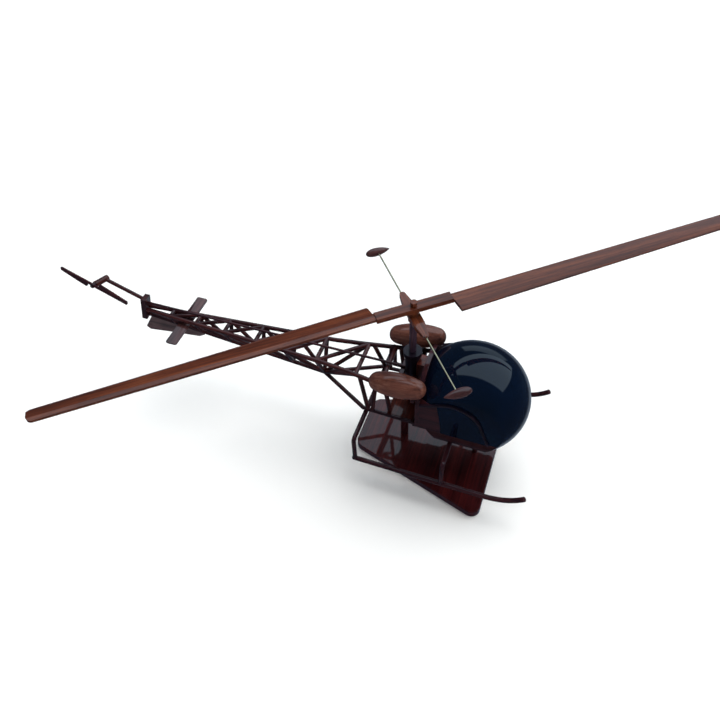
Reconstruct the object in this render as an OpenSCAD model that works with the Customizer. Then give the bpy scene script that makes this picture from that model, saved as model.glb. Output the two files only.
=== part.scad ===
// Desk model of a light bubble-canopy helicopter at 1:24, carved and turned from lacquered wood.
// Millimetres. X is towards the nose, Y to port, Z up. The origin is on the underside of the
// display base, straight below the main rotor mast.

/* [Display base] */
// Thickness of the base plate
base_t = 6; // [4:0.5:9]
// Half width of the base plate at its rear edge
base_rear_half = 22; // [18:1:26]
// Half width of the base plate at its front edge
base_front_half = 52.5; // [46:0.5:58]
// Height of the skid tubes' underside above the base plate
stand_gap = 18; // [14:1:24]

/* [Landing gear] */
// Distance from the centre line to each skid
skid_y = 46; // [40:1:52]
// Radius of the skid tubes
skid_r = 1.75; // [1.4:0.05:2.1]
// Radius of the cross tubes
cross_r = 1.6; // [1.3:0.05:1.8]
// Angle that the skid toes turn up
toe_angle = 48; // [40:1:55]

/* [Cabin] */
// Radius of the bubble
bubble_r = 38; // [36:0.5:40]
// Half width of the cabin across its flat sides
cabin_half = 27; // [25:0.5:29]
// Thickness of the firewall behind the bubble
firewall_t = 3; // [2:0.5:4]

/* [Fuel tanks] */
// Greatest radius of a fuel tank
tank_r = 8.4; // [7.6:0.1:9]
// Length of a fuel tank
tank_len = 39.5; // [36:0.5:42]

/* [Tail] */
// Radius of the dowels in the tail boom
dowel_r = 1.6; // [1.2:0.05:1.8]
// Radius of the tail rotor
tail_rotor_r = 35.5; // [28:0.5:38]
// Angle that the tail tube climbs
tail_climb = 22; // [15:1:28]

/* [Main rotor] */
// Radius of the main rotor
rotor_r = 236; // [200:1:250]
// Direction of the first blade at rest, counted from the nose towards port
blade_azimuth = 38.75; // [0:0.25:90]
// Blade pitch, leading edge up
blade_pitch = 6.9; // [0:0.1:10]
// Blade thickness
blade_t = 2.4; // [2:0.1:3.2]
// Distance from the mast to the middle of each stabiliser weight
weight_reach = 65; // [50:1:70]
// Running clearance of each rotor on its pin, on the radius
run_fit = 0.05; // [0.02:0.01:0.08]

/* [Hidden] */
$fn = 48;

wood_dark = "#3a1f22";
wood_red = "#7a4030";
wood_top = "#8a5a42";
paint_navy = "#101c2c";
metal = "#c9b98a";
glue_gap = 0.01;
end_gap = 0.1;
overcut = 1;
room = 150;
mitre_extra = 0.2;
corner_steps = 10;
dome_steps = 5;

// Heights that the parts share
deck_z = base_t;
skid_z = base_t + stand_gap + skid_r;
front_cross_z = skid_z + 21.6;
rear_cross_z = skid_z + 22.95;
rail_r = 1.4;
rail_z = rear_cross_z + cross_r + rail_r;
board_half_t = 1.3;
board_z = rail_z - board_half_t;
belly_z = front_cross_z + cross_r;

// Base and stand
base_rear_x = -37;
base_front_x = 63.5;
base_rear_r = 8;
base_front_r = 6.5;
post_front_x = 49;
post_front_r = 1.9;
post_rear_x = -5;
post_rear_r = 3;
screw_r = 0.9;
screw_head_r = 2.2;
screw_head_t = 1.6;
screw_len = 16;
screw_inset = 0.1;

// Landing gear along X
skid_rear_x = -28;
toe_start_x = 64;
toe_bend_r = 34;
cross_rear_x = -27.4;
cross_front_x = 34.8;
corner_r = 3;
saddle = 9;

// Cabin
bubble_x = 41.5;
bubble_z = 69.4;
firewall_x = 13;
firewall_rear = firewall_x - firewall_t;
firewall_r = 29.5;
sill_z = 57.8;
tray_x = 7;
tray_half = 22;
tray_top = 52.4;
arch = [34, 69.2];
arch_r = 20.8;
arch_front = 20;
arch_rear = 113;
strip_w = 1.5;
strip_t = 1.4;
skin_t = 0.8;
quarter_y = 22;
fill_gap = 0.5;
quarter_top_x = 24.3;
quarter_mid = [27.4, 67];
quarter_low_x = 28;
spine_x = 4.2;
spine_half = 4.7;
spine_top = 94.5;

// Boom: half widths and heights along the top longerons, heights along the keel
boom_end_x = -217;
boom_foot_x = -67;
longeron_z = 80.2;
bend_rear_x = -62.5;
bend_front_x = -40.5;
bend_xs = [boom_end_x, bend_rear_x, bend_front_x, firewall_rear + 2];
top_plan = [[boom_end_x, 1.9], [bend_rear_x, 11.15], [bend_front_x, 13.8], [firewall_x, 22.6]];
top_side = [[boom_end_x, 78.6], [bend_rear_x, 79.9], [bend_front_x, longeron_z],
    [firewall_x, longeron_z]];
keel_end_x = -219.5;
keel_nose = 1.8;
keel_side = [[keel_end_x, 71.6], [boom_foot_x, 54.5]];
stations = [boom_foot_x, -92, -117, -144, -169.5, -193];
last = len(stations) - 1;
brace_top_x = -36;
deck_cross_x = -17;
brace_r = dowel_r * 0.95;
seam = 0.01;
foot_x = cross_rear_x;
foot_y = 20;
rail_rear = 1.5 * rail_r;
rail_inset = 1;
deck_rear_x = -12;
middle_top_x = -32.7;
front_top_x = -20.3;
brace_step = 1.6;
strut_back = 1.2 * brace_r;
strut_top_x = -13.7;
strut_foot_x = -10.5;
strut_foot_y = 17.2;
shaft_start = [-3, 0, 83.7];
shaft_end = [-216.5, 0, 84.6];
shaft_r = 0.9;

// End block, fin and stabiliser
block_low = [-220.6, 68];
block_high = [-214.8, 90];
block_x = 4.5;
block_half = 3.6;
fin_t = 1.5;
fin_outline = [[-225, 55.3], [-222, 52.7], [-200.7, 56], [-173.4, 59.5], [-167.9, 63],
    [-165.5, 66.5], [-213.75, 72]];
fin_radii = [0.8, 0.8, 6, 3, 3, 0.3, 0.3];
tailplane_x = -181;
tailplane_chord = 9.2;
tailplane_half = 25.4;
tailplane_z = 74.4;
tailplane_t = 1.3;
tailplane_radii = [1.2, 1.6, 1.6, 1.2];

// Tail rotor: its axle looks to starboard, a little aft and a little up
axle_yaw = 9.4;
axle_cant = 14.4;
tube_r = 1.5;
tube_start = [-215.5, 0, 87];
tube_run = 33.3;
tube_end = tube_start + tube_run * [-1, 0, tan(tail_climb)];
gear_r = 2.4;
gear_back = 2.6;
gear_front = 10.3;
tail_pin_r = 0.6;
tail_pin_from = 6;
tail_gap = 0.2;
tail_hub_r = 1.9;
tail_hub_t = 2.8;
tail_head_r = 1.1;
tail_head_t = 0.8;
tail_blade_t = 1.3;
tail_tilt = 6;
tail_outline = [[0.5, -1.1], [tail_rotor_r, -1.1], [tail_rotor_r, 1.7],
    [7.4, 4.1], [5.6, 0.8], [0.5, 0.8]];
tail_radii = [0, 0.7, 0.7, 0.5, 0, 0];

// Fuel tanks
tank_mid = [-3.4, 23, 91.2];
tank_rise = 8.3;
tank_toe = 4.2;
tank_end_r = 6.6;
tank_ring_at = tank_len / 2 - tank_end_r;
tank_curve_r = (pow(tank_r, 2) + pow(tank_ring_at, 2) - pow(tank_end_r, 2))
    / (2 * (tank_r - tank_end_r));
tank_mouth = tank_ring_at * tank_curve_r / (tank_curve_r - tank_end_r);
cradle_xs = [-11.5, 7.6];
cradle_t = 2.5;
cradle_w = 6;
cradle_out = 1.2;

// Mast and hub
boss_r = 4.8;
boss_top = 98.5;
collar_r = 6.2;
collar_top = 102;
mast_r = 2.4;
mast_foot = 84;
mast_top = 130.9;
beam_xs = [-6.2, 3.6];
beam_w = 3;
beam_z = 79.7;
stack_gap = 0.1;
hub_z = mast_top + stack_gap;
hub_r = 3.4;
pin_r = 1.0;
pin_foot = 116;
pin_top = 145.4;
yoke_z = 139.8;
yoke_t = 3.5;
yoke_half = 24.9;
yoke_w = 7.2;
cap_r = 2.1;
cap_h = 3.2;
blade_z = yoke_z + yoke_t / 2;
blade_dowel_r = 0.8;
blade_dowel_from = 18;
blade_dowel_to = 32;
lead_root = 2.3;
lead_tip = 5.35;
neck_trail = -3.4;
neck_end = 25.3;
trail_from = 26.6;
trail_root = -11.65;
trail_tip = -4.8;
blade_radii = [0, 0, 0.6, 3.2, 4, 0];
lead_bevel = 2.4;
lead_bevel_angle = 17.2;
trail_bevel = 2.5;
trail_bevel_angle = 21.8;
bevel_end = 12;
arm_z = 135;
arm_t = 3.2;
arm_reach = 20.5;
arm_outline = [[-arm_reach, -1.6], [-9, -3.6], [9, -3.6], [arm_reach, -1.6],
    [arm_reach, 1.6], [9, 3.6], [-9, 3.6], [-arm_reach, 1.6]];
arm_radii = [1.4, 12, 12, 1.4, 1.4, 12, 12, 1.4];
bar_from = 15;
bar_r = 0.5;
weight_r = 2.9;
weight_tip_r = 0.7;
weight_len = 17;
weight_taper = 0.9;
weight_neck = 0.4 * weight_r;

// Points and directions
function top_at(x, s) = [x, s * lookup(x, top_plan), lookup(x, top_side)];
function keel_at(x) = [x, 0, lookup(x, keel_side)];
function foot_at(s) = [foot_x, s * foot_y, rail_z];
function unit(v) = v / norm(v);
function half_angle(a, b, c) = acos(unit(a - b) * unit(c - b)) / 2;

// A straight dowel from one point to another
module rod(p, q, r) {
    v = q - p;
    translate(p)
        rotate([0, acos(v[2] / norm(v)), atan2(v[1], v[0])])
            cylinder(h = norm(v), r = r);
}

// A dowel with a far end that is turned down in a few steps to a dome
module domed_rod(p, q, r) {
    v = q - p;
    step = 90 / dome_steps;
    translate(p)
        rotate([0, acos(v[2] / norm(v)), atan2(v[1], v[0])])
            rotate_extrude()
                polygon(concat([[0, 0], [r, 0]],
                    [for (k = [0:dome_steps - 1])
                        [r * cos(k * step), norm(v) + r * sin(k * step)]],
                    [[0, norm(v) + r]]));
}

// A dowel that follows points with rising X, its lengths mitred square to X where they meet
module bent_dowel(pts, r) {
    for (i = [0:len(pts) - 2]) {
        run = pts[i + 1] - pts[i];
        intersection() {
            rod(pts[i] - run * mitre_extra, pts[i + 1] + run * mitre_extra, r);
            translate([pts[i][0], -room / 2, 0])
                cube([run[0], room, room]);
        }
    }
}

// The points that round off one corner of an anticlockwise polygon; zero leaves it sharp
function corner_points(a, b, c, r) =
    let (half = half_angle(a, b, c),
        centre = b + unit(unit(a - b) + unit(c - b)) * (r / sin(half)),
        from = b + unit(a - b) * (r / tan(half)) - centre,
        turn = atan2(from[1], from[0]))
    r == 0 ? [b] : [for (k = [0:corner_steps])
        centre + r * [cos(turn + (180 - 2 * half) * k / corner_steps),
            sin(turn + (180 - 2 * half) * k / corner_steps)]];

// A polygon with its outward corners rounded
module rounded(pts, radii) {
    n = len(pts);
    polygon([for (i = [0:n - 1])
        each corner_points(pts[(i + n - 1) % n], pts[i], pts[(i + 1) % n], radii[i])]);
}

// Stands a shape drawn in X and Z on a side of the model, from one distance out to another
module on_side(s, from_y, to_y) {
    translate([0, s > 0 ? to_y : -from_y, 0])
        rotate([90, 0, 0])
            linear_extrude(height = to_y - from_y)
                children();
}

// ---- Display base and stand ----

module screw_holes() {
    for (x = [post_front_x, post_rear_x])
        translate([x, 0, -overcut]) {
            cylinder(h = screw_len + overcut, r = screw_r + glue_gap);
            cylinder(h = screw_head_t + overcut, r = screw_head_r + glue_gap);
        }
}

module base_plate() {
    outline = [[base_rear_x, -base_rear_half], [base_front_x, -base_front_half],
        [base_front_x, base_front_half], [base_rear_x, base_rear_half]];
    color(wood_red)
        difference() {
            linear_extrude(height = base_t)
                rounded(outline, [base_rear_r, base_front_r, base_front_r, base_rear_r]);
            screw_holes();
        }
}

module stand_posts() {
    color(wood_dark)
        difference() {
            union() {
                translate([post_front_x, 0, deck_z])
                    cylinder(h = belly_z - deck_z, r = post_front_r);
                translate([post_rear_x, 0, deck_z])
                    cylinder(h = board_z - deck_z, r = post_rear_r);
            }
            screw_holes();
        }
}

module stand_screws() {
    color(metal)
        for (x = [post_front_x, post_rear_x])
            translate([x, 0, screw_inset]) {
                cylinder(h = screw_len - 2 * screw_inset, r = screw_r);
                cylinder(h = screw_head_t - screw_inset, r = screw_head_r);
            }
}

// ---- Landing gear ----

module skid_tube(s, r) {
    bend = [toe_start_x, s * skid_y, skid_z];
    heel = [skid_rear_x, s * skid_y, skid_z];
    domed_rod(bend, heel, r);
    translate(bend + [0, 0, toe_bend_r])
        rotate([90, 0, 0])
            rotate([0, 0, -90])
                rotate_extrude(angle = toe_angle)
                    translate([toe_bend_r, 0])
                        circle(r = r);
}
module skid_starboard() { color(wood_dark) skid_tube(-1, skid_r); }
module skid_port() { color(wood_dark) skid_tube(1, skid_r); }

// An arch across the model: a straight bar with a leg down to each skid
module cross_tube(x, z) {
    span = skid_y - corner_r;
    color(wood_dark)
        difference() {
            union() {
                rod([x, -span, z], [x, span, z], cross_r);
                for (s = [-1, 1]) {
                    translate([x, s * span, z - corner_r])
                        rotate([90, 0, s * 90])
                            rotate_extrude(angle = 90)
                                translate([corner_r, 0])
                                    circle(r = cross_r);
                    rod([x, s * skid_y, skid_z], [x, s * skid_y, z - corner_r], cross_r);
                }
            }
            for (s = [-1, 1])
                rod([x - saddle, s * skid_y, skid_z], [x + saddle, s * skid_y, skid_z], skid_r);
        }
}
module cross_tube_front() { cross_tube(cross_front_x, front_cross_z); }
module cross_tube_rear() { cross_tube(cross_rear_x, rear_cross_z); }

// ---- Cabin ----

// Radius of the cabin's sphere where a plane at that distance to the side cuts it
function cabin_radius_at(y) = sqrt(pow(bubble_r, 2) - pow(y, 2));

// The slice of the cabin's sphere between two heights, cut flat at the sides and the back
module cabin_slice(low, high, grow) {
    intersection() {
        translate([bubble_x, 0, bubble_z])
            sphere(r = bubble_r + grow);
        translate([firewall_x, -cabin_half - grow, low])
            cube([2 * bubble_r, 2 * (cabin_half + grow), high - low]);
    }
}

module bubble_canopy() {
    color(paint_navy)
        cabin_slice(sill_z, bubble_z + bubble_r + overcut, 0);
}

module belly_pan() {
    color(wood_red) {
        cabin_slice(belly_z, sill_z, 0);
        translate([tray_x, -tray_half, belly_z])
            cube([firewall_x - tray_x, 2 * tray_half, tray_top - belly_z]);
    }
}

module firewall() {
    color(wood_dark)
        difference() {
            translate([firewall_rear, 0, bubble_z])
                rotate([90, 0, 90])
                    linear_extrude(height = firewall_t)
                        intersection() {
                            circle(r = firewall_r);
                            translate([-cabin_half, tray_top - bubble_z])
                                square([2 * cabin_half, 2 * firewall_r]);
                        }
            for (s = [-1, 1]) {
                top_longeron(s, dowel_r + glue_gap);
                tank_solid(s, glue_gap);
            }
        }
}

// Side view of the door opening: an arch that runs on straight at both ends
module door_outline(r, rear_x, low_z) {
    p = arch + r * [cos(arch_front), sin(arch_front)];
    q = arch + r * [cos(arch_rear), sin(arch_rear)];
    front_x = p[0] + (p[1] - low_z) * tan(arch_front);
    polygon([[rear_x, low_z], [front_x, low_z], p, arch, q, [rear_x, strip_line(rear_x, r)]]);
    intersection() {
        translate(arch)
            circle(r = r);
        translate(arch - [r, 0])
            square([2 * r, r]);
    }
}

// Height of the underside of the door strip's straight rear end
function strip_line(x, r) =
    let (q = arch + r * [cos(arch_rear), sin(arch_rear)])
    q[1] - (q[0] - x) / tan(180 - arch_rear);

module quarter_outline(r) {
    polygon([[firewall_x, sill_z], [quarter_low_x, sill_z], quarter_mid,
        [quarter_top_x, strip_line(quarter_top_x, r)], [firewall_x, strip_line(firewall_x, r)]]);
}

module door_panel(s) {
    color(paint_navy)
        on_side(s, cabin_half, cabin_half + skin_t)
            difference() {
                door_outline(arch_r - strip_w, firewall_x, sill_z);
                polygon([[0, sill_z - overcut], [quarter_low_x, sill_z - overcut],
                    [quarter_low_x, sill_z], quarter_mid,
                    [quarter_top_x, strip_line(quarter_top_x, arch_r)],
                    [quarter_top_x, 2 * bubble_z], [0, 2 * bubble_z]]);
            }
}
module door_panel_starboard() { door_panel(-1); }
module door_panel_port() { door_panel(1); }

module door_frame(s) {
    color(wood_dark)
        on_side(s, cabin_half, cabin_half + strip_t)
            difference() {
                door_outline(arch_r, firewall_x, sill_z);
                door_outline(arch_r - strip_w, firewall_x - overcut, sill_z - overcut);
            }
}
module door_frame_starboard() { door_frame(-1); }
module door_frame_port() { door_frame(1); }

// A skin beside the door that also fills the corner between the round bubble and the firewall
module quarter_panel(s) {
    inner_y = quarter_y - overcut;
    color(wood_red)
        difference() {
            union() {
                on_side(s, cabin_half, cabin_half + skin_t)
                    quarter_outline(arch_r - strip_w);
                on_side(s, quarter_y, cabin_half)
                    quarter_outline(arch_r);
            }
            translate([bubble_x, s * inner_y, bubble_z])
                rotate([-s * 90, 0, 0])
                    cylinder(h = cabin_half - inner_y, r1 = cabin_radius_at(inner_y) + fill_gap,
                        r2 = cabin_radius_at(cabin_half) + fill_gap);
        }
}
module quarter_panel_starboard() { quarter_panel(-1); }
module quarter_panel_port() { quarter_panel(1); }

// ---- Centre section ----

module lower_rail(s) {
    rod(foot_at(s) - [rail_rear, 0, 0], [tray_x, s * (tray_half - rail_inset), rail_z], rail_r);
}
module lower_rail_starboard() { color(wood_dark) lower_rail(-1); }
module lower_rail_port() { color(wood_dark) lower_rail(1); }

module engine_deck() {
    color(wood_red)
        difference() {
            translate([deck_rear_x, -foot_y, board_z])
                cube([tray_x - deck_rear_x, 2 * foot_y, 2 * board_half_t]);
            lower_rail(-1);
            lower_rail(1);
        }
}

module spine_block() {
    color(wood_red)
        difference() {
            translate([spine_x, -spine_half, board_z + 2 * board_half_t])
                cube([firewall_rear - spine_x, 2 * spine_half,
                    spine_top - board_z - 2 * board_half_t]);
            cylinder(h = boss_top, r = boss_r);
        }
}

module mast_boss() {
    color(wood_dark)
        difference() {
            translate([0, 0, board_z + 2 * board_half_t])
                cylinder(h = boss_top - board_z - 2 * board_half_t, r = boss_r);
            translate([0, 0, mast_foot])
                cylinder(h = boss_top, r = mast_r + glue_gap);
            rod(shaft_start, shaft_end, shaft_r + glue_gap);
        }
}

module mast_collar() {
    color(wood_dark)
        translate([0, 0, boss_top])
            difference() {
                cylinder(h = collar_top - boss_top, r = collar_r);
                translate([0, 0, -overcut])
                    cylinder(h = collar_r, r = mast_r + glue_gap);
            }
}

module mast() {
    color(wood_dark)
        difference() {
            translate([0, 0, mast_foot])
                cylinder(h = mast_top - mast_foot, r = mast_r);
            translate([0, 0, pin_foot])
                cylinder(h = mast_top, r = pin_r + glue_gap);
        }
}

module mast_beams() {
    color(wood_dark)
        difference() {
            for (x = beam_xs)
                translate([x - beam_w / 2, -lookup(x, top_plan), beam_z])
                    cube([beam_w, 2 * lookup(x, top_plan), beam_w]);
            translate([0, 0, beam_z - overcut])
                cylinder(h = beam_w + 2 * overcut, r = boss_r);
            translate([spine_x, -spine_half, beam_z - overcut])
                cube([2 * spine_half, 2 * spine_half, beam_w + 2 * overcut]);
            top_longeron(-1, dowel_r);
            top_longeron(1, dowel_r);
        }
}

// ---- Fuel tanks ----

module tank_solid(s, grow) {
    translate([tank_mid[0], s * tank_mid[1], tank_mid[2]])
        rotate([0, 0, s * tank_toe])
            rotate([0, 90 - tank_rise, 0])
                rotate_extrude()
                    intersection() {
                        translate([0, -tank_len])
                            square([2 * tank_r, 2 * tank_len]);
                        union() {
                            for (e = [-1, 1])
                                translate([0, e * tank_ring_at])
                                    circle(r = tank_end_r + grow);
                            intersection() {
                                translate([tank_r - tank_curve_r, 0])
                                    circle(r = tank_curve_r + grow, $fn = 96);
                                translate([0, -tank_mouth])
                                    square([2 * tank_r, 2 * tank_mouth]);
                            }
                        }
                    }
}
module fuel_tank_starboard() { color(wood_red) tank_solid(-1, 0); }
module fuel_tank_port() { color(wood_red) tank_solid(1, 0); }

module tank_cradles() {
    color(wood_dark)
        for (s = [-1, 1])
            difference() {
                for (x = cradle_xs)
                    translate([x, s * (lookup(x, top_plan) + cradle_out), longeron_z])
                        translate([-cradle_t / 2, -cradle_w / 2, 0])
                            cube([cradle_t, cradle_w, cradle_w]);
                tank_solid(s, glue_gap);
                top_longeron(s, dowel_r);
            }
}

// ---- Tail boom ----

module top_longeron(s, r) { bent_dowel([for (x = bend_xs) top_at(x, s)], r); }
module top_longeron_starboard() { color(wood_dark) top_longeron(-1, dowel_r); }
module top_longeron_port() { color(wood_dark) top_longeron(1, dowel_r); }

module keel(r) {
    tail = keel_at(keel_end_x);
    foot = keel_at(boom_foot_x);
    rod(tail, foot + keel_nose * unit(foot - tail), r);
}
module keel_longeron() { color(wood_dark) keel(dowel_r); }

// Everything to one side of the boom's middle plane
module half_space(s) {
    translate([2 * boom_end_x, s > 0 ? seam : -room - seam, 0])
        cube([-3 * boom_end_x, room, room]);
}

module longerons() {
    top_longeron(-1, dowel_r);
    top_longeron(1, dowel_r);
    keel(dowel_r);
}

module posts(s) {
    for (x = stations)
        rod(top_at(x, s), keel_at(x), brace_r);
}
module boom_posts(s) {
    color(wood_dark)
        difference() {
            intersection() {
                posts(s);
                half_space(s);
            }
            longerons();
        }
}
module boom_posts_starboard() { boom_posts(-1); }
module boom_posts_port() { boom_posts(1); }

module diagonals(s) {
    for (i = [1:last])
        rod(top_at(stations[i], s), keel_at(stations[i - 1]), brace_r);
}
module boom_diagonals(s) {
    color(wood_dark)
        difference() {
            intersection() {
                diagonals(s);
                half_space(s);
            }
            longerons();
            posts(s);
        }
}
module boom_diagonals_starboard() { boom_diagonals(-1); }
module boom_diagonals_port() { boom_diagonals(1); }

module cross_members() {
    for (x = concat(stations, [brace_top_x, deck_cross_x]))
        rod(top_at(x, -1), top_at(x, 1), brace_r);
}
module side_frames() {
    for (s = [-1, 1]) {
        posts(s);
        diagonals(s);
    }
}
module boom_cross_members() {
    color(wood_dark)
        difference() {
            cross_members();
            longerons();
            side_frames();
        }
}

module top_diagonals() {
    for (i = [0:last])
        rod(top_at(stations[i], -1),
            top_at(i == 0 ? brace_top_x : stations[i - 1], 1), brace_r);
}
module boom_top_diagonals() {
    color(wood_dark)
        difference() {
            top_diagonals();
            longerons();
            side_frames();
            cross_members();
        }
}

module keel_rods(s) { rod(keel_at(boom_foot_x), foot_at(s) - [strut_back, 0, 0], brace_r); }
module keel_struts() {
    color(wood_dark)
        difference() {
            for (s = [-1, 1])
                intersection() {
                    keel_rods(s);
                    half_space(s);
                }
            longerons();
            side_frames();
            lower_rail(-1);
            lower_rail(1);
        }
}

module rear_rods(s) { rod(keel_at(boom_foot_x), top_at(brace_top_x, s), brace_r); }
module rear_braces() {
    color(wood_dark)
        difference() {
            for (s = [-1, 1])
                intersection() {
                    rear_rods(s);
                    half_space(s);
                }
            longerons();
            side_frames();
            cross_members();
            top_diagonals();
            keel_rods(-1);
            keel_rods(1);
        }
}

module middle_braces() {
    color(wood_dark)
        difference() {
            for (s = [-1, 1])
                rod(top_at(middle_top_x, s), foot_at(s) + [brace_step, 0, 0], brace_r);
            longerons();
            lower_rail(-1);
            lower_rail(1);
        }
}

module front_braces() {
    color(wood_dark)
        difference() {
            for (s = [-1, 1])
                rod(top_at(front_top_x, s), foot_at(s) + [3 * brace_step, 0, 0], brace_r);
            longerons();
            lower_rail(-1);
            lower_rail(1);
        }
}

module deck_struts() {
    color(wood_dark)
        difference() {
            for (s = [-1, 1])
                rod(top_at(strut_top_x, s), [strut_foot_x, s * strut_foot_y, rail_z], brace_r);
            top_longeron(-1, dowel_r);
            top_longeron(1, dowel_r);
            translate([deck_rear_x, -foot_y, board_z])
                cube([foot_y, 2 * foot_y, 2 * board_half_t]);
        }
}

module drive_shaft() { color(wood_dark) rod(shaft_start, shaft_end, shaft_r); }

// ---- Tail ----

module boom_end_block() {
    color(wood_dark)
        difference() {
            on_side(1, -block_half, block_half)
                polygon([block_low - [block_x / 2, 0], block_low + [block_x / 2, 0],
                    block_high + [block_x / 2, 0], block_high - [block_x / 2, 0]]);
            top_longeron(-1, dowel_r + glue_gap);
            top_longeron(1, dowel_r + glue_gap);
            keel(dowel_r + glue_gap);
            rod(shaft_start, shaft_end, shaft_r + glue_gap);
            rod(tube_start, tube_end, tube_r + glue_gap);
        }
}

module ventral_fin() {
    color(wood_red)
        difference() {
            on_side(1, -fin_t / 2, fin_t / 2)
                rounded(fin_outline, fin_radii);
            keel(dowel_r);
            translate(keel_at(boom_foot_x))
                rotate([0, 180 + atan2(keel_side[0][1] - keel_side[1][1],
                    boom_foot_x - keel_end_x), 0])
                    translate([0, -fin_t, -room])
                        cube([-boom_end_x, 2 * fin_t, room]);
        }
}

module horizontal_stabiliser() {
    c = tailplane_chord / 2;
    color(wood_top)
        difference() {
            translate([tailplane_x, 0, tailplane_z - tailplane_t / 2])
                linear_extrude(height = tailplane_t)
                    rounded([[-c, -tailplane_half], [c, -tailplane_half],
                        [c, tailplane_half], [-c, tailplane_half]], tailplane_radii);
            side_frames();
        }
}

module tail_tube() {
    color(wood_dark)
        difference() {
            rod(tube_start, tube_end, tube_r);
            on_axle()
                translate([0, 0, -gear_back - overcut])
                    cylinder(h = gear_front + gear_back, r = gear_r);
        }
}

// Moves to the tail rotor's axle, with its Z along the axle
module on_axle() {
    translate(tube_end)
        rotate([0, 90 - axle_cant, -90 - axle_yaw])
            children();
}

module tail_gearbox() {
    color(wood_top)
        on_axle()
            difference() {
                translate([0, 0, -gear_back])
                    cylinder(h = gear_front + gear_back, r = gear_r);
                translate([0, 0, tail_pin_from])
                    cylinder(h = gear_front, r = tail_pin_r + glue_gap);
            }
}

module tail_rotor_pin() {
    head_at = gear_front + tail_hub_t + 2 * tail_gap;
    color(metal)
        on_axle() {
            translate([0, 0, tail_pin_from])
                cylinder(h = head_at - tail_pin_from, r = tail_pin_r);
            translate([0, 0, head_at])
                cylinder(h = tail_head_t, r = tail_head_r);
        }
}

module tail_rotor_hub() {
    color(wood_dark)
        on_axle()
            translate([0, 0, gear_front + tail_gap])
                difference() {
                    cylinder(h = tail_hub_t, r = tail_hub_r);
                    translate([0, 0, -overcut])
                        cylinder(h = tail_hub_t + 2 * overcut, r = tail_pin_r + run_fit);
                }
}

module tail_blades() {
    color(wood_dark)
        on_axle()
            translate([0, 0, gear_front + tail_gap + (tail_hub_t - tail_blade_t) / 2])
                difference() {
                    for (turn = [0, 180])
                        rotate([0, 0, 90 - tail_tilt + turn])
                            linear_extrude(height = tail_blade_t)
                                rounded(tail_outline, tail_radii);
                    translate([0, 0, -overcut])
                        cylinder(h = tail_blade_t + 2 * overcut, r = tail_hub_r);
                }
}

// ---- Main rotor ----

module rotor_pin() {
    color(metal)
        translate([0, 0, pin_foot])
            cylinder(h = pin_top - pin_foot, r = pin_r);
}

module rotor_cap() {
    foot = yoke_z + yoke_t + stack_gap;
    color(wood_dark)
        difference() {
            translate([0, 0, foot])
                cylinder(h = cap_h, r = cap_r);
            translate([0, 0, foot - overcut])
                cylinder(h = pin_top - foot + overcut, r = pin_r + glue_gap);
        }
}

module hub_bore() {
    translate([0, 0, mast_top])
        cylinder(h = pin_top - mast_top, r = pin_r + run_fit);
}

// The spacers under and over the stabiliser's arm
module hub_spacers() {
    color(wood_dark)
        difference() {
            union() {
                translate([0, 0, hub_z])
                    cylinder(h = arm_z - arm_t / 2 - hub_z, r = hub_r);
                translate([0, 0, arm_z + arm_t / 2])
                    cylinder(h = yoke_z - arm_z - arm_t / 2, r = hub_r);
            }
            hub_bore();
        }
}

module stabiliser_arm() {
    color(wood_dark)
        rotate([0, 0, blade_azimuth - 90])
            difference() {
                translate([0, 0, arm_z - arm_t / 2])
                    linear_extrude(height = arm_t)
                        rounded(arm_outline, arm_radii);
                hub_bore();
                for (s = [-1, 1])
                    rod([s * bar_from, 0, arm_z], [s * 2 * arm_reach, 0, arm_z],
                        bar_r + glue_gap);
            }
}

module rotor_yoke() {
    color(wood_red)
        rotate([0, 0, blade_azimuth])
            difference() {
                translate([-yoke_half, -yoke_w / 2, yoke_z])
                    cube([2 * yoke_half, yoke_w, yoke_t]);
                for (s = [-1, 1])
                    rod([s * blade_dowel_from, 0, blade_z], [s * blade_dowel_to, 0, blade_z],
                        blade_dowel_r + glue_gap);
                hub_bore();
            }
}

// One blade along X with its leading edge towards Y, bevelled on top and then pitched
module rotor_blade() {
    top = blade_t / 2;
    translate([0, 0, blade_z])
        rotate([blade_pitch, 0, 0])
            difference() {
                translate([0, 0, -top])
                    linear_extrude(height = blade_t)
                        rounded([[yoke_half, neck_trail], [neck_end, neck_trail],
                            [trail_from, trail_root], [rotor_r, trail_tip],
                            [rotor_r, lead_tip], [yoke_half, lead_root]],
                            blade_radii);
                translate([yoke_half, lead_root, top])
                    rotate([0, 0, atan2(lead_tip - lead_root, rotor_r - yoke_half)])
                        translate([-bevel_end, -lead_bevel, 0])
                            rotate([-lead_bevel_angle, 0, 0])
                                cube([rotor_r, bevel_end, bevel_end]);
                translate([trail_from, trail_root, top])
                    rotate([0, 0, atan2(trail_tip - trail_root, rotor_r - trail_from)])
                        translate([-bevel_end, trail_bevel, 0])
                            rotate([trail_bevel_angle, 0, 0])
                                translate([0, -bevel_end, 0])
                                    cube([rotor_r, bevel_end, bevel_end]);
                rod([blade_dowel_from, 0, 0], [blade_dowel_to, 0, 0],
                    blade_dowel_r + glue_gap);
            }
}
module rotor_blades() {
    color(wood_top)
        for (turn = [0, 180])
            rotate([0, 0, blade_azimuth + turn])
                rotor_blade();
}

module blade_dowels() {
    color(metal)
        rotate([0, 0, blade_azimuth])
            for (s = [-1, 1])
                rod([s * (blade_dowel_from + end_gap), 0, blade_z],
                    [s * (blade_dowel_to - end_gap), 0, blade_z], blade_dowel_r);
}

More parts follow.
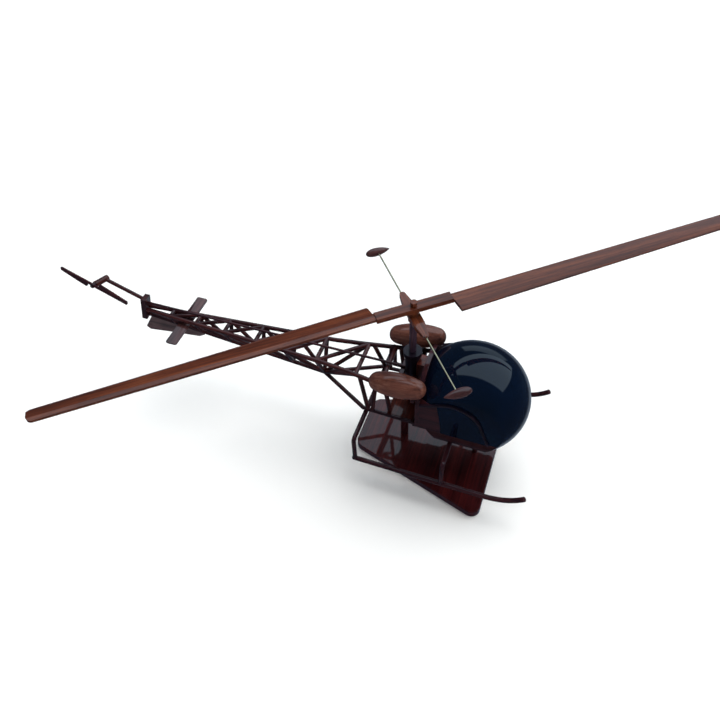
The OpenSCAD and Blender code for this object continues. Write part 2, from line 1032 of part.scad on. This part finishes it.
// The bar's two rods, each with a drop-shaped weight set across its end
module stabiliser_rods() {
    color(metal)
        rotate([0, 0, blade_azimuth - 90])
            for (s = [-1, 1])
                rod([s * (bar_from + end_gap), 0, arm_z], [s * weight_reach, 0, arm_z], bar_r);
}

module stabiliser_weights() {
    blunt_y = weight_len / 2 - weight_r;
    tip_y = weight_tip_r - weight_len / 2;
    color(wood_top)
        rotate([0, 0, blade_azimuth - 90])
            for (s = [-1, 1])
                difference() {
                    translate([s * weight_reach, 0, arm_z])
                        rotate([s > 0 ? -90 : 90, 0, 0])
                            rotate_extrude()
                                intersection() {
                                    translate([0, -weight_len])
                                        square([weight_len, 2 * weight_len]);
                                    union() {
                                        translate([0, blunt_y])
                                            circle(r = weight_r);
                                        translate([0, tip_y])
                                            circle(r = weight_tip_r);
                                        polygon([[0, tip_y], [weight_taper * weight_tip_r, tip_y],
                                            [weight_taper * weight_r, blunt_y - weight_neck],
                                            [0, blunt_y]]);
                                    }
                                }
                    rod([s * bar_from, 0, arm_z], [s * (weight_reach + glue_gap), 0, arm_z],
                        bar_r + glue_gap);
                }
}

base_plate();
stand_posts();
stand_screws();
skid_starboard();
skid_port();
cross_tube_front();
cross_tube_rear();
bubble_canopy();
belly_pan();
firewall();
door_panel_starboard();
door_panel_port();
door_frame_starboard();
door_frame_port();
quarter_panel_starboard();
quarter_panel_port();
lower_rail_starboard();
lower_rail_port();
engine_deck();
spine_block();
mast_boss();
mast_collar();
mast();
mast_beams();
fuel_tank_starboard();
fuel_tank_port();
tank_cradles();
top_longeron_starboard();
top_longeron_port();
keel_longeron();
boom_posts_starboard();
boom_posts_port();
boom_diagonals_starboard();
boom_diagonals_port();
boom_cross_members();
boom_top_diagonals();
keel_struts();
rear_braces();
middle_braces();
front_braces();
deck_struts();
drive_shaft();
boom_end_block();
ventral_fin();
horizontal_stabiliser();
tail_tube();
tail_gearbox();
tail_rotor_pin();
tail_rotor_hub();
tail_blades();
rotor_pin();
rotor_cap();
hub_spacers();
stabiliser_arm();
rotor_yoke();
rotor_blades();
blade_dowels();
stabiliser_rods();
stabiliser_weights();
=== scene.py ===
import math

import bmesh
import bpy
from mathutils import Matrix, Vector


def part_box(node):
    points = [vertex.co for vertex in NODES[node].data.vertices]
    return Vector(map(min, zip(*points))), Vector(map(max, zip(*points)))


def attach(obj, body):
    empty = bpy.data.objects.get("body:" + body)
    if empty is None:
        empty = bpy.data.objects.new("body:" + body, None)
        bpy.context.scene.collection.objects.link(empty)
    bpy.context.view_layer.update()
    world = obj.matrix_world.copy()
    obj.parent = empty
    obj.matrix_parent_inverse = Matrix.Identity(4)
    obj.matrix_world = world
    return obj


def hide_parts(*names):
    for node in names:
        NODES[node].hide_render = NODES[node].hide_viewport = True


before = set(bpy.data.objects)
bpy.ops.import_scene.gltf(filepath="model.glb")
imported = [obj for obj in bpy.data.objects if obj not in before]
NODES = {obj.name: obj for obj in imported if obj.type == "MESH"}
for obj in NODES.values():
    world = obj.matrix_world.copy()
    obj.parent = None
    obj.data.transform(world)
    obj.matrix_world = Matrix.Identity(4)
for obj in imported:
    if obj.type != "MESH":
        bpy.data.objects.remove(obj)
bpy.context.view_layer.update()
MM = 0.001

# Lengths are in metres
MODEL_MIDDLE = Vector((0, 0, 0.08))
FLOOR_SIZE = 90
GRAIN_RELIEF = 0.00006
ORANGE_PEEL_RELIEF = 0.00012
PAINT_RELIEF = 0.00025
DRAWING_LINE_RELIEF = 0.00003

# Where the blades and the stabiliser bar lie at rest, from the nose towards port
BLADE_TURN = math.radians(38.75)
BAR_TURN = BLADE_TURN - math.pi / 2


# ---- Shader helpers ----

class Nodes:
    """A short way to build one material's node tree."""

    def __init__(self, name):
        self.mat = bpy.data.materials.new(name)
        self.mat.use_nodes = True
        self.tree = self.mat.node_tree
        self.tree.nodes.clear()
        self.out = self.add("ShaderNodeOutputMaterial")
        self.bsdf = self.add("ShaderNodeBsdfPrincipled")
        self.link(self.bsdf.outputs["BSDF"], self.out.inputs["Surface"])

    def add(self, kind, **props):
        node = self.tree.nodes.new(kind)
        for key, value in props.items():
            setattr(node, key, value)
        return node

    def link(self, a, b):
        self.tree.links.new(a, b)

    def set(self, *values):
        """Constants go straight onto the shader's own sockets."""
        for socket, value in values:
            self.bsdf.inputs[socket].default_value = value

    def plug(self, socket, value):
        """A number or colour is set on the socket, and an output is linked to it."""
        if isinstance(value, bpy.types.NodeSocket):
            self.link(value, socket)
        else:
            socket.default_value = value

    def coords(self, turn=(0, 0, 0), scale=(1, 1, 1)):
        """The shared frame's coordinates in metres, turned and then scaled."""
        tex = self.add("ShaderNodeTexCoord")
        spin = self.add("ShaderNodeMapping", vector_type="POINT")
        spin.inputs["Rotation"].default_value = turn
        self.link(tex.outputs["Object"], spin.inputs["Vector"])
        stretch = self.add("ShaderNodeMapping", vector_type="POINT")
        stretch.inputs["Scale"].default_value = scale
        self.link(spin.outputs["Vector"], stretch.inputs["Vector"])
        return stretch.outputs["Vector"]

    def noise(self, vector, scale, detail=4.0, roughness=0.5, distortion=0.0):
        node = self.add("ShaderNodeTexNoise")
        self.link(vector, node.inputs["Vector"])
        node.inputs["Scale"].default_value = scale
        node.inputs["Detail"].default_value = detail
        node.inputs["Roughness"].default_value = roughness
        node.inputs["Distortion"].default_value = distortion
        return node.outputs["Fac"]

    def ramp(self, fac, stops):
        node = self.add("ShaderNodeValToRGB")
        elements = node.color_ramp.elements
        while len(elements) < len(stops):
            elements.new(0.5)
        for element, (at, value) in zip(elements, stops):
            element.position = at
            element.color = (*value, 1)
        self.link(fac, node.inputs["Fac"])
        return node.outputs["Color"]

    def grey(self, fac, low, high, at_low=0.0, at_high=1.0):
        """A value that goes from low to high as the factor passes from at_low to at_high."""
        node = self.add("ShaderNodeMapRange")
        self.link(fac, node.inputs["Value"])
        node.inputs["From Min"].default_value = at_low
        node.inputs["From Max"].default_value = at_high
        node.inputs["To Min"].default_value = low
        node.inputs["To Max"].default_value = high
        return node.outputs["Result"]

    def mix(self, fac, a, b, blend="MIX"):
        node = self.add("ShaderNodeMix", data_type="RGBA", blend_type=blend)
        self.plug(node.inputs["Factor"], fac)
        self.plug(node.inputs["A"], a if isinstance(a, bpy.types.NodeSocket) else (*a, 1))
        self.plug(node.inputs["B"], b if isinstance(b, bpy.types.NodeSocket) else (*b, 1))
        return node.outputs["Result"]

    def math(self, op, a, b):
        node = self.add("ShaderNodeMath", operation=op)
        for socket, value in zip(node.inputs, (a, b)):
            self.plug(socket, value)
        return node.outputs["Value"]

    def eased(self, radius):
        """A normal that rounds over the sharp edges, as sanding and lacquer do."""
        node = self.add("ShaderNodeBevel", samples=6)
        node.inputs["Radius"].default_value = radius
        return node.outputs["Normal"]

    def bump(self, height, strength, distance, below=None):
        """A normal tipped by that height, over the normal below where there is one."""
        node = self.add("ShaderNodeBump")
        node.inputs["Strength"].default_value = strength
        node.inputs["Distance"].default_value = distance
        self.link(height, node.inputs["Height"])
        if below:
            self.link(below, node.inputs["Normal"])
        return node.outputs["Normal"]


def linear(r, g, b):
    """An sRGB colour of 0 to 255 as linear light."""
    def one(c):
        c /= 255
        return c / 12.92 if c <= 0.04045 else ((c + 0.055) / 1.055) ** 2.4
    return one(r), one(g), one(b)


# ---- Materials ----

def lacquered_wood(name, dark, mid, light, turn=(0, 0, 0), coat=1.0, edge=0.0, seed=0.0):
    """Mahogany under gloss lacquer. The grain runs along X once turn has been applied, edge is
    the width that sharp edges are eased over, and seed moves the grain to another board."""
    n = Nodes(name)
    shifted = n.add("ShaderNodeMapping", vector_type="POINT")
    n.link(n.coords(turn), shifted.inputs["Vector"])
    shifted.inputs["Location"].default_value = (seed, seed * 0.37, seed * 0.61)

    def stretched(along, across):
        node = n.add("ShaderNodeMapping", vector_type="POINT")
        n.link(shifted.outputs["Vector"], node.inputs["Vector"])
        node.inputs["Scale"].default_value = (along, across, across)
        return node.outputs["Vector"]

    # Features per metre along and across the grain: broad figure, streaks, fibres and pores
    figure = n.noise(stretched(11, 130), 1.0, 3.0, 0.55, 0.5)
    streaks = n.noise(stretched(18, 620), 1.0, 5.0, 0.6, 0.2)
    fibres = n.noise(stretched(80, 2800), 1.0, 3.0, 0.6)
    pores = n.noise(stretched(190, 3600), 1.0, 2.0, 0.5)

    tone = n.math("ADD", n.math("MULTIPLY", figure, 0.45), n.math("MULTIPLY", streaks, 0.55))
    wood = n.ramp(tone, [(0.30, dark), (0.50, mid), (0.70, light)])
    fibre_shade = n.grey(fibres, 0.86, 1.12, 0.25, 0.75)
    shade = n.add("ShaderNodeCombineColor")
    for channel in ("Red", "Green", "Blue"):
        n.link(fibre_shade, shade.inputs[channel])
    wood = n.mix(1.0, wood, shade.outputs["Color"], "MULTIPLY")
    pore_mask = n.ramp(pores, [(0.33, (1, 1, 1)), (0.41, (0, 0, 0))])
    wood = n.mix(n.math("MULTIPLY", pore_mask, 0.45), wood, tuple(c * 0.3 for c in dark))
    cloud = n.noise(n.coords(), 55.0, 3.0, 0.6)
    wood = n.mix(n.grey(cloud, 0.0, 0.22, 0.45, 0.75), wood, tuple(c * 0.6 for c in dark))
    n.link(wood, n.bsdf.inputs["Base Color"])

    n.link(n.grey(streaks, 0.30, 0.48, 0.3, 0.7), n.bsdf.inputs["Roughness"])
    n.set(("Specular IOR Level", 0.12), ("Coat Weight", coat), ("Coat Roughness", 0.045),
          ("Coat IOR", 1.52))
    eased = n.eased(edge) if edge else None
    relief = n.math("SUBTRACT", n.math("MULTIPLY", fibres, 0.4),
                    n.math("MULTIPLY", pore_mask, 0.6))
    n.link(n.bump(relief, 0.35, GRAIN_RELIEF, eased), n.bsdf.inputs["Normal"])
    orange_peel = n.noise(n.coords(), 420.0, 2.0, 0.5)
    n.link(n.bump(orange_peel, 0.10, ORANGE_PEEL_RELIEF, eased), n.bsdf.inputs["Coat Normal"])
    return n.mat


def navy_lacquer():
    """Blue-black gloss paint, polished, with faint clouding, dust and waves."""
    n = Nodes("navy_lacquer")
    cloud = n.noise(n.coords(), 28.0, 4.0, 0.55)
    fine = n.noise(n.coords(), 900.0, 2.0, 0.5)
    paint = n.ramp(cloud, [(0.30, linear(3, 9, 20)), (0.55, linear(4, 13, 30)),
                           (0.75, linear(7, 22, 36))])
    n.link(paint, n.bsdf.inputs["Base Color"])
    specks = n.ramp(fine, [(0.66, (0, 0, 0)), (0.74, (1, 1, 1))])
    n.link(n.grey(specks, 0.16, 0.20), n.bsdf.inputs["Roughness"])
    n.set(("Specular IOR Level", 0.0), ("Coat Weight", 1.0), ("Coat Roughness", 0.03),
          ("Coat IOR", 1.5))
    waves = n.noise(n.coords(), 130.0, 2.0, 0.45)
    n.link(n.bump(waves, 0.10, PAINT_RELIEF), n.bsdf.inputs["Normal"])
    n.link(n.bump(waves, 0.08, PAINT_RELIEF), n.bsdf.inputs["Coat Normal"])
    return n.mat


def metal(name, tint, dull, rough):
    """A worn metal with fine drawing lines and tarnish."""
    n = Nodes(name)
    lines = n.noise(n.coords((0, 0, -BAR_TURN), (60, 4000, 4000)), 1.0, 3.0, 0.6)
    cloud = n.noise(n.coords(), 160.0, 4.0, 0.6)
    colour = n.mix(n.grey(cloud, 0.0, 0.65, 0.4, 0.75), tint, dull)
    n.link(colour, n.bsdf.inputs["Base Color"])
    n.set(("Metallic", 1.0))
    n.link(n.grey(lines, rough * 0.7, rough * 1.5, 0.3, 0.7), n.bsdf.inputs["Roughness"])
    n.link(n.bump(lines, 0.25, DRAWING_LINE_RELIEF), n.bsdf.inputs["Normal"])
    return n.mat


# The dark, middle and light tones of each wood
WOODS = {
    "base": (linear(26, 7, 8), linear(60, 14, 15), linear(88, 26, 23)),
    "dark": (linear(18, 8, 12), linear(45, 19, 23), linear(74, 34, 35)),
    "black": (linear(10, 7, 14), linear(26, 17, 28), linear(46, 28, 36)),
    "mast": (linear(26, 19, 28), linear(52, 38, 52), linear(78, 54, 62)),
    "body": (linear(34, 12, 10), linear(74, 28, 20), linear(112, 48, 32)),
    "tank": (linear(54, 29, 25), linear(102, 60, 48), linear(134, 88, 72)),
    "truss": (linear(22, 9, 10), linear(52, 22, 22), linear(88, 40, 35)),
    "tail": (linear(30, 17, 17), linear(68, 41, 40), linear(98, 62, 58)),
    # The fin's tones are mahogany greyed over with a painted reflection of the bright room in its
    # lacquer
    "fin": (linear(54, 42, 43), linear(92, 72, 72), linear(122, 98, 95)),
    "burgundy": (linear(20, 7, 11), linear(50, 18, 24), linear(80, 33, 36)),
    "rotor": (linear(44, 19, 12), linear(88, 42, 24), linear(124, 66, 38)),
}
UPRIGHT = (0, math.radians(90), 0)
ACROSS = (0, 0, math.radians(90))
ALONG = (0, 0, 0)


def tilted(degrees):
    """Grain in the XZ plane, at that angle above +X."""
    return 0, math.radians(degrees), 0


def swung(angle):
    """Grain level, at that angle from +X towards +Y."""
    return 0, 0, -angle


# Each wooden node: its wood, the run of its grain, the weight of its lacquer and the width its
# edges are eased over in the material. The order gives each node its own board.
WOODEN = {
    "base_plate": ("base", ACROSS, 1.0, 0.0),
    "stand_posts": ("dark", UPRIGHT, 1.0, 0.0),
    "skid_starboard": ("dark", ALONG, 1.0, 0.0), "skid_port": ("dark", ALONG, 1.0, 0.0),
    "cross_tube_front": ("dark", ACROSS, 1.0, 0.0), "cross_tube_rear": ("dark", ACROSS, 1.0, 0.0),
    "door_frame_starboard": ("black", ALONG, 0.8, 0.0003),
    "door_frame_port": ("black", ALONG, 0.8, 0.0003),
    "lower_rail_starboard": ("dark", ALONG, 1.0, 0.0),
    "lower_rail_port": ("dark", ALONG, 1.0, 0.0),
    "mast_boss": ("black", UPRIGHT, 0.4, 0.0), "mast_collar": ("black", ACROSS, 0.4, 0.0003),
    "mast": ("mast", UPRIGHT, 1.0, 0.0), "mast_beams": ("dark", ACROSS, 0.8, 0.0003),
    "tank_cradles": ("dark", ACROSS, 0.8, 0.0003), "firewall": ("dark", ACROSS, 1.0, 0.0004),
    "drive_shaft": ("dark", ALONG, 1.0, 0.0),
    "belly_pan": ("dark", ALONG, 1.0, 0.0004),
    "quarter_panel_starboard": ("dark", ALONG, 1.0, 0.0003),
    "quarter_panel_port": ("dark", ALONG, 1.0, 0.0003),
    "engine_deck": ("body", ACROSS, 0.8, 0.0004), "spine_block": ("body", UPRIGHT, 0.8, 0.0004),
    "fuel_tank_starboard": ("tank", tilted(8), 1.0, 0.0),
    "fuel_tank_port": ("tank", tilted(8), 1.0, 0.0),
    "top_longeron_starboard": ("truss", ALONG, 1.0, 0.0),
    "top_longeron_port": ("truss", ALONG, 1.0, 0.0),
    "keel_longeron": ("truss", tilted(-6), 1.0, 0.0),
    "boom_posts_starboard": ("truss", UPRIGHT, 1.0, 0.0),
    "boom_posts_port": ("truss", UPRIGHT, 1.0, 0.0),
    "boom_diagonals_starboard": ("truss", tilted(-35), 1.0, 0.0),
    "boom_diagonals_port": ("truss", tilted(-35), 1.0, 0.0),
    "boom_cross_members": ("truss", ACROSS, 1.0, 0.0),
    "boom_top_diagonals": ("truss", swung(math.radians(35)), 1.0, 0.0),
    "keel_struts": ("truss", ALONG, 1.0, 0.0), "rear_braces": ("truss", tilted(40), 1.0, 0.0),
    "middle_braces": ("truss", UPRIGHT, 1.0, 0.0), "front_braces": ("truss", UPRIGHT, 1.0, 0.0),
    "deck_struts": ("truss", UPRIGHT, 1.0, 0.0),
    "boom_end_block": ("truss", UPRIGHT, 1.0, 0.0004),
    "tail_tube": ("truss", tilted(-22), 1.0, 0.0),
    # Mahogany greyed with a painted reflection of the bright room
    "ventral_fin": ("fin", ALONG, 1.0, 0.0),
    "horizontal_stabiliser": ("tail", ACROSS, 1.0, 0.0),
    "tail_gearbox": ("body", ACROSS, 0.8, 0.0003),
    "tail_rotor_hub": ("burgundy", ACROSS, 0.8, 0.0003),
    "tail_blades": ("burgundy", ALONG, 0.8, 0.0),
    "rotor_cap": ("rotor", UPRIGHT, 0.8, 0.0003),
    "hub_spacers": ("rotor", UPRIGHT, 0.8, 0.0003),
    "stabiliser_arm": ("rotor", swung(BAR_TURN), 1.0, 0.0),
    "rotor_yoke": ("rotor", swung(BLADE_TURN), 0.8, 0.0),
    "rotor_blades": ("rotor", swung(BLADE_TURN), 0.85, 0.0),
    "blade_dowels": ("rotor", swung(BLADE_TURN), 0.8, 0.0),
    "stabiliser_weights": ("tail", swung(BLADE_TURN), 1.0, 0.0),
}

made = {}
for index, (node, (wood, turn, coat, edge)) in enumerate(WOODEN.items()):
    made[node] = lacquered_wood("mahogany_" + wood + "_" + node, *WOODS[wood], turn=turn,
                                coat=coat, edge=edge, seed=0.31 * index)
paint = navy_lacquer()
brass = metal("pale_brass", linear(228, 214, 176), linear(150, 128, 92), 0.22)
steel = metal("bright_steel", linear(196, 196, 200), linear(120, 118, 120), 0.25)
blued_steel = metal("blued_steel", linear(74, 62, 66), linear(40, 30, 34), 0.30)
for node in ("bubble_canopy", "door_panel_starboard", "door_panel_port"):
    made[node] = paint
made["stabiliser_rods"] = brass
made["tail_rotor_pin"] = blued_steel
for node in ("stand_screws", "rotor_pin"):
    made[node] = steel


def dress(obj, material):
    obj.data.materials.clear()
    obj.data.materials.append(material)


for node, material in made.items():
    dress(NODES[node], material)

# ---- Pieces made here ----

SHARP_EDGE = math.radians(35)
SHORTEST_EDGE = 0.0004
WELD = 1e-6
FLAT = math.radians(0.5)


def eased_copy(node, body, slot, width):
    """Stands a copy with rounded edges in for a plank-like node."""
    mesh = bmesh.new()
    mesh.from_mesh(NODES[node].data)
    bmesh.ops.remove_doubles(mesh, verts=mesh.verts, dist=WELD)
    bmesh.ops.dissolve_limit(mesh, angle_limit=FLAT, verts=mesh.verts, edges=mesh.edges)
    corners = [edge for edge in mesh.edges if len(edge.link_faces) == 2
               and edge.calc_face_angle() > SHARP_EDGE and edge.calc_length() > SHORTEST_EDGE]
    bmesh.ops.bevel(mesh, geom=corners, offset=width, offset_type="OFFSET", segments=3,
                    profile=0.5, affect="EDGES", clamp_overlap=True)
    for face in mesh.faces:
        face.smooth = True
    data = bpy.data.meshes.new("eased_" + node)
    mesh.to_mesh(data)
    mesh.free()
    piece = bpy.data.objects.new("eased_" + node, data)
    bpy.context.scene.collection.objects.link(piece)
    weighted = piece.modifiers.new("face_weighted_shading", "WEIGHTED_NORMAL")
    weighted.keep_sharp = False
    dress(piece, made[node])
    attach(piece, body)
    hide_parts(node)


# Node, body, slot and how wide its edges are rounded
for planks in (
    ("base_plate", "airframe", "mahogany_base", 0.0006),
    ("ventral_fin", "airframe", "mahogany_tail", 0.0003),
    ("horizontal_stabiliser", "airframe", "mahogany_tail", 0.0003),
    ("rotor_yoke", "main_rotor", "mahogany_rotor", 0.0004),
    ("rotor_blades", "main_rotor", "mahogany_rotor", 0.0004),
    ("stabiliser_arm", "main_rotor", "mahogany_rotor", 0.0004),
    ("tail_blades", "tail_rotor", "mahogany_tail", 0.0002),
):
    eased_copy(*planks)


def bar_weights(reach=0.065, length=0.017, widest=0.0029, around=40, steps=36, fullness=0.62):
    """The two weights of the stabiliser bar: smooth drops across its ends, each with its blunt
    end leading the way round. The fullness shapes the taper towards the tail."""
    low, high = (Vector(corner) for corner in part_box("stabiliser_weights"))
    hub = (low + high) / 2
    bar = Vector((math.cos(BAR_TURN), math.sin(BAR_TURN), 0))
    ahead = Vector((math.cos(BLADE_TURN), math.sin(BLADE_TURN), 0))
    up = Vector((0, 0, 1))
    turns = [math.pi * k / steps for k in range(1, steps)]
    widths = [math.sin(a) * math.cos(a / 2) ** fullness for a in turns]
    mesh = bmesh.new()
    for side in (1, -1):
        centre, nose = hub + side * reach * bar, side * ahead
        rings = []
        for a, width in zip(turns, widths):
            radius = widest * width / max(widths)
            rings.append([mesh.verts.new(
                centre + nose * (length / 2 * math.cos(a))
                + radius * (math.cos(b) * bar + math.sin(b) * up))
                for b in (2 * math.pi * k / around for k in range(around))])
        for ring, after in zip(rings, rings[1:]):
            for k in range(around):
                j = (k + 1) % around
                mesh.faces.new((ring[k], ring[j], after[j], after[k]))
        for ring, end in ((rings[0], 1), (rings[-1], -1)):
            point = mesh.verts.new(centre + nose * (end * length / 2))
            for k in range(around):
                mesh.faces.new((point, ring[k], ring[(k + 1) % around]))
    bmesh.ops.recalc_face_normals(mesh, faces=mesh.faces)
    for face in mesh.faces:
        face.smooth = True
    data = bpy.data.meshes.new("bar_weights")
    mesh.to_mesh(data)
    mesh.free()
    piece = bpy.data.objects.new("bar_weights", data)
    bpy.context.scene.collection.objects.link(piece)
    dress(piece, made["stabiliser_weights"])
    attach(piece, "main_rotor")
    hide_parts("stabiliser_weights")


bar_weights()

# ---- Studio ----

def white_floor():
    """Pale paper for the model to stand on. The lacquer doesn't mirror it."""
    bpy.ops.mesh.primitive_plane_add(size=FLOOR_SIZE)
    floor = bpy.context.object
    floor.name = "studio_floor"
    n = Nodes("floor_paper")
    grain = n.noise(n.coords(), 900.0, 2.0)
    n.link(n.mix(n.grey(grain, 0.0, 1.0), (0.985, 0.945, 0.90), (1.0, 0.96, 0.915)),
           n.bsdf.inputs["Base Color"])
    n.set(("Roughness", 0.9))
    dress(floor, n.mat)
    floor.visible_glossy = False


def sky():
    """A pale backdrop for the camera. The lacquer mirrors a dim room with one big window
    overhead to port, a fainter one further off, and a glow low down beyond the model."""
    world = bpy.data.worlds.new("studio")
    bpy.context.scene.world = world
    world.use_nodes = True
    tree = world.node_tree
    tree.nodes.clear()

    def add(kind, **props):
        node = tree.nodes.new(kind)
        for key, value in props.items():
            setattr(node, key, value)
        return node

    def math_node(op, a, b=0.0):
        node = add("ShaderNodeMath", operation=op)
        for socket, value in zip(node.inputs, (a, b)):
            if isinstance(value, bpy.types.NodeSocket):
                tree.links.new(value, socket)
            else:
                socket.default_value = value
        return node.outputs["Value"]

    def step(value, edge, soft):
        node = add("ShaderNodeMapRange", interpolation_type="SMOOTHSTEP")
        tree.links.new(value, node.inputs["Value"])
        node.inputs["From Min"].default_value = edge - soft
        node.inputs["From Max"].default_value = edge + soft
        return node.outputs["Result"]

    direction = add("ShaderNodeTexCoord").outputs["Generated"]
    split = add("ShaderNodeSeparateXYZ")
    tree.links.new(direction, split.inputs[0])
    x, y, z = (split.outputs[i] for i in range(3))

    # Where each direction meets a ceiling one unit up, and the lines that bound the windows there
    height = math_node("MAXIMUM", z, 0.02)
    u = math_node("DIVIDE", x, height)
    v = math_node("DIVIDE", y, height)
    window = step(z, 0.10, 0.04)
    for edge in (
        step(v, 0.02, 0.03),
        step(math_node("SUBTRACT", math_node("MULTIPLY", u, 1.17), v), -1.80, 0.05),
        step(u, -0.95, 0.04),
        step(math_node("SUBTRACT", math_node("MULTIPLY", v, 0.46), u), -1.60, 0.06),
    ):
        window = math_node("MULTIPLY", window, edge)
    far_window = math_node("MULTIPLY", step(z, 0.08, 0.06), step(v, 2.2, 0.15))
    far_window = math_node("MULTIPLY", far_window, step(
        math_node("SUBTRACT", math_node("MULTIPLY", v, 0.45), math_node("ABSOLUTE", u)), 0.0, 0.1))
    window = math_node("MAXIMUM", window, math_node("MULTIPLY", far_window, 0.5))

    low = math_node("SUBTRACT", 1.0, step(z, -0.05, 0.15))
    away = add("ShaderNodeVectorMath", operation="DOT_PRODUCT")
    tree.links.new(direction, away.inputs[0])
    away.inputs[1].default_value = (0.0, 0.62, -0.785)
    glow = math_node("MULTIPLY", step(away.outputs["Value"], 0.84, 0.05), step(x, -0.15, 0.25))

    def blend(fac, a, b):
        node = add("ShaderNodeMix", data_type="RGBA")
        tree.links.new(fac, node.inputs["Factor"])
        for name, value in (("A", a), ("B", b)):
            if isinstance(value, bpy.types.NodeSocket):
                tree.links.new(value, node.inputs[name])
            else:
                node.inputs[name].default_value = value
        return node.outputs["Result"]

    room = blend(low, (0.030, 0.048, 0.078, 1), (0.034, 0.044, 0.068, 1))
    room = blend(glow, room, (0.28, 0.33, 0.40, 1))
    room = blend(window, room, (0.72, 0.93, 1.10, 1))
    lit = add("ShaderNodeBackground")
    tree.links.new(room, lit.inputs["Color"])
    pale = add("ShaderNodeBackground")
    pale.inputs["Color"].default_value = (0.96, 0.96, 0.96, 1)
    seen = add("ShaderNodeLightPath")
    mix = add("ShaderNodeMixShader")
    tree.links.new(seen.outputs["Is Camera Ray"], mix.inputs["Fac"])
    tree.links.new(lit.outputs[0], mix.inputs[1])
    tree.links.new(pale.outputs[0], mix.inputs[2])
    out = add("ShaderNodeOutputWorld")
    tree.links.new(mix.outputs[0], out.inputs["Surface"])


def area_light(name, place, size, watts, colour):
    """A soft panel aimed at the model, which the lacquer doesn't mirror."""
    data = bpy.data.lights.new(name, "AREA")
    data.shape = "RECTANGLE"
    data.size, data.size_y = size
    data.energy = watts
    data.color = colour
    lamp = bpy.data.objects.new(name, data)
    bpy.context.scene.collection.objects.link(lamp)
    lamp.location = place
    aim = MODEL_MIDDLE - Vector(place)
    lamp.rotation_euler = aim.to_track_quat("-Z", "Y").to_euler()
    lamp.visible_glossy = False


def soft_sun(name, towards, spread, strength, colour):
    """Even light from a wide part of the ceiling, the same wherever the camera stands."""
    data = bpy.data.lights.new(name, "SUN")
    data.angle = math.radians(spread)
    data.energy = strength
    data.color = colour
    lamp = bpy.data.objects.new(name, data)
    bpy.context.scene.collection.objects.link(lamp)
    lamp.rotation_euler = Vector(towards).to_track_quat("Z", "Y").to_euler()
    lamp.visible_glossy = False


def camera():
    """The view of the photo: from starboard and ahead, 48 degrees down, rolled 9 degrees."""
    azimuth, height, roll = (math.radians(a) for a in (-60.371, 48.483, -8.980))
    back = Vector((math.cos(height) * math.cos(azimuth), math.cos(height) * math.sin(azimuth),
                   math.sin(height)))
    level = (-back).cross(Vector((0, 0, 1))).normalized()
    tall = level.cross(-back)
    right = level * math.cos(roll) + tall * math.sin(roll)
    up = tall * math.cos(roll) - level * math.sin(roll)
    data = bpy.data.cameras.new("photo_camera")
    data.lens = 32.499
    data.sensor_width = 36
    data.shift_x, data.shift_y = 0.06918, -0.0099
    data.clip_start, data.clip_end = 0.01, 50
    cam = bpy.data.objects.new("photo_camera", data)
    bpy.context.scene.collection.objects.link(cam)
    turn = Matrix((right, up, back)).transposed().to_4x4()
    cam.matrix_world = Matrix.Translation(Vector((78.428, -272.796, 426.964)) * MM) @ turn
    bpy.context.scene.camera = cam


camera()
white_floor()
sky()
soft_sun("overhead", (0.3, 0.9, 2.6), 58, 2.75, (1.0, 0.99, 0.97))
area_light("front_fill", (1.6, -2.0, 1.6), (2.5, 2.0), 20.0, (1.0, 0.98, 0.96))
bpy.context.scene.view_settings.view_transform = "Standard"
